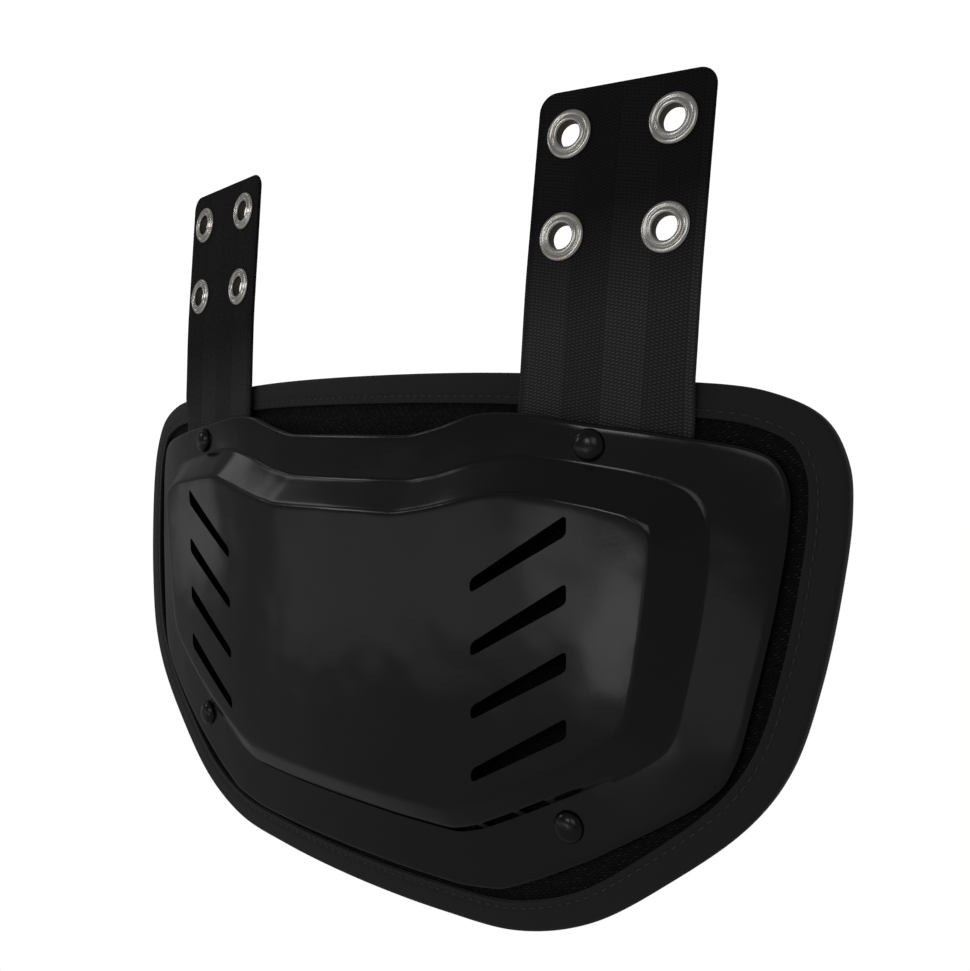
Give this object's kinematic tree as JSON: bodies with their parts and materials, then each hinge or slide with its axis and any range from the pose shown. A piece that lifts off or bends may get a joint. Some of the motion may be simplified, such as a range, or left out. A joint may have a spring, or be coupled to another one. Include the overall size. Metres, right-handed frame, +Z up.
{
  "type": "football back plate",
  "caption": "Curved foam back pad with a thin slotted shell riveted to its front, hung by wide webbing straps with plated eyelets.",
  "frame": {"origin": "midway between the two groups of eyelets, level with the outer faces of the straps", "axes": "+X to the right seen from outside, +Z up along the hanging straps, -Y outwards from the wearer's back"},
  "size_m": [0.295, 0.0369, 0.2338],
  "materials": {
    "pad_cover": "smooth black knit over foam",
    "edge_band": "flat woven black edge band",
    "mesh": "coarse black knitted mesh",
    "shell": "satin black moulded plastic",
    "rivet": "gloss black",
    "webbing": "black woven webbing",
    "eyelet": "bright nickel plate"
  },
  "bodies": {
    "root": {"foam_pad": "pad_cover", "pad_binding": "edge_band", "mesh_facing": "mesh", "shell": "shell", "rivet_left_top": "rivet", "rivet_left_bottom": "rivet", "rivet_right_top": "rivet", "rivet_right_bottom": "rivet", "strap_left": "webbing", "strap_right": "webbing", "eyelet_left_1": "eyelet", "eyelet_left_2": "eyelet", "eyelet_left_3": "eyelet", "eyelet_left_4": "eyelet", "eyelet_right_1": "eyelet", "eyelet_right_2": "eyelet", "eyelet_right_3": "eyelet", "eyelet_right_4": "eyelet"}
  },
  "joints": []
}
